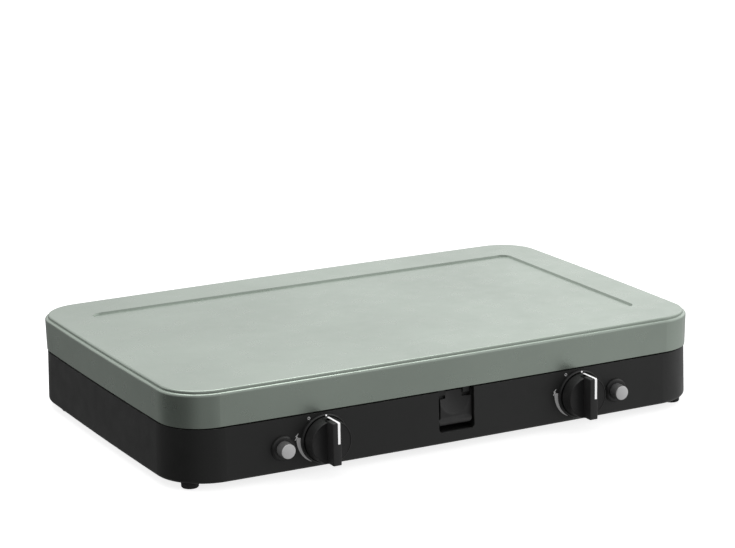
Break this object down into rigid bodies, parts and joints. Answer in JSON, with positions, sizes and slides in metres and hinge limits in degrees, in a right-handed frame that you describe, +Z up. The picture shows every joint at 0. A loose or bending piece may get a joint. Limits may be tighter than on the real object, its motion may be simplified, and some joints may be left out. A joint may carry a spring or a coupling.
{
  "type": "camping stove",
  "caption": "Flat two-burner gas camping stove in a pressed tub, with a hinged lid, front latch, turning knobs, push igniters and lift-out pan supports.",
  "frame": {"origin": "on the ground under the middle of the base, the middle of the whole bounding box's footprint", "axes": "+Z up, +X to the user's right, -Y towards the user at the knobs"},
  "size_m": [0.542, 0.395, 0.089],
  "materials": {
    "black_coat": "satin powder coat",
    "green_coat": "satin sage powder coat",
    "hob_enamel": "semi-gloss enamel",
    "knob_plastic": "fine moulded grain",
    "bezel_plastic": "satin",
    "button_grey": "fine grain",
    "rubber": "matt",
    "lead_cover": "silicone",
    "zinc_steel": "zinc plated",
    "brass": "machined",
    "copper_probe": "drawn copper",
    "cast_alloy": "cast",
    "burner_steel": "pressed",
    "cap_enamel": "enamel",
    "insulator": "glazed"
  },
  "bodies": {
    "base": {"base_rivets": "zinc_steel", "base_tub": "black_coat", "burner_base_left": "cast_alloy", "burner_base_right": "cast_alloy", "burner_cap_left": "cap_enamel", "burner_cap_right": "cap_enamel", "burner_head_left": "burner_steel", "burner_head_right": "burner_steel", "burner_screws": "zinc_steel", "feet": "rubber", "foot_screws": "zinc_steel", "gas_manifold": "zinc_steel", "hinge_base_leaf_left": "black_coat", "hinge_base_leaf_right": "black_coat", "hinge_pins": "zinc_steel", "hob_plate": "hob_enamel", "hob_screws": "zinc_steel", "hose_nozzle": "brass", "igniter_body_left": "bezel_plastic", "igniter_body_right": "bezel_plastic", "igniter_collar_left": "bezel_plastic", "igniter_collar_right": "bezel_plastic", "igniter_nuts": "zinc_steel", "ignition_lead_left": "lead_cover", "ignition_lead_right": "lead_cover", "injectors": "brass", "inlet_nut": "brass", "knob_bezel_left": "bezel_plastic", "knob_bezel_right": "bezel_plastic", "latch_housing": "black_coat", "latch_pin": "zinc_steel", "latch_spring": "zinc_steel", "lid_pads": "rubber", "mixing_tube_left": "cast_alloy", "mixing_tube_right": "cast_alloy", "spark_electrode_left": "zinc_steel", "spark_electrode_right": "zinc_steel", "spark_insulator_left": "insulator", "spark_insulator_right": "insulator", "thermocouple_left": "copper_probe", "thermocouple_right": "copper_probe", "valve_body_left": "brass", "valve_body_right": "brass", "valve_nuts": "zinc_steel"},
    "lid": {"lid_shell": "green_coat", "lid_catch": "black_coat", "lid_rivets": "zinc_steel", "hinge_lid_leaf_left": "green_coat", "hinge_lid_leaf_right": "green_coat"},
    "latch": {"latch_lever": "knob_plastic"},
    "valve_left": {"valve_plunger_left": "brass"},
    "knob_left": {"knob_left": "knob_plastic", "valve_stem_left": "zinc_steel"},
    "button_left": {"igniter_button_left": "button_grey"},
    "pan_support_left": {"pan_support_left": "hob_enamel"},
    "valve_right": {"valve_plunger_right": "brass"},
    "knob_right": {"knob_right": "knob_plastic", "valve_stem_right": "zinc_steel"},
    "button_right": {"igniter_button_right": "button_grey"},
    "pan_support_right": {"pan_support_right": "hob_enamel"}
  },
  "joints": [
    {"name": "lid_hinge", "type": "hinge", "parent": "base", "child": "lid", "pos_m": [0, 0.177, 0.056], "axis": [-1, 0, 0], "range_deg": [0, 100]},
    {"name": "latch_pivot", "type": "hinge", "parent": "base", "child": "latch", "pos_m": [0, -0.159, 0.0455], "axis": [-1, 0, 0], "range_deg": [0, 20], "stiffness_Nm_per_rad": 0.02},
    {"name": "valve_push_left", "type": "slide", "parent": "base", "child": "valve_left", "axis": [0, 1, 0], "range_m": [0, 0.003], "stiffness_N_per_m": 1500, "springref_m": -0.002},
    {"name": "knob_turn_left", "type": "hinge", "parent": "valve_left", "child": "knob_left", "pos_m": [-0.131, -0.18, 0.0313], "axis": [0, -1, 0], "range_deg": [0, 210]},
    {"name": "button_push_left", "type": "slide", "parent": "base", "child": "button_left", "axis": [0, 1, 0], "range_m": [0, 0.005], "stiffness_N_per_m": 1200, "springref_m": -0.002},
    {"name": "pan_support_lift_left", "type": "slide", "parent": "base", "child": "pan_support_left", "axis": [0, 0, 1], "range_m": [0, 0.01]},
    {"name": "valve_push_right", "type": "slide", "parent": "base", "child": "valve_right", "axis": [0, 1, 0], "range_m": [0, 0.003], "stiffness_N_per_m": 1500, "springref_m": -0.002},
    {"name": "knob_turn_right", "type": "hinge", "parent": "valve_right", "child": "knob_right", "pos_m": [0.131, -0.18, 0.0313], "axis": [0, -1, 0], "range_deg": [0, 210]},
    {"name": "button_push_right", "type": "slide", "parent": "base", "child": "button_right", "axis": [0, 1, 0], "range_m": [0, 0.005], "stiffness_N_per_m": 1200, "springref_m": -0.002},
    {"name": "pan_support_lift_right", "type": "slide", "parent": "base", "child": "pan_support_right", "axis": [0, 0, 1], "range_m": [0, 0.01]}
  ]
}
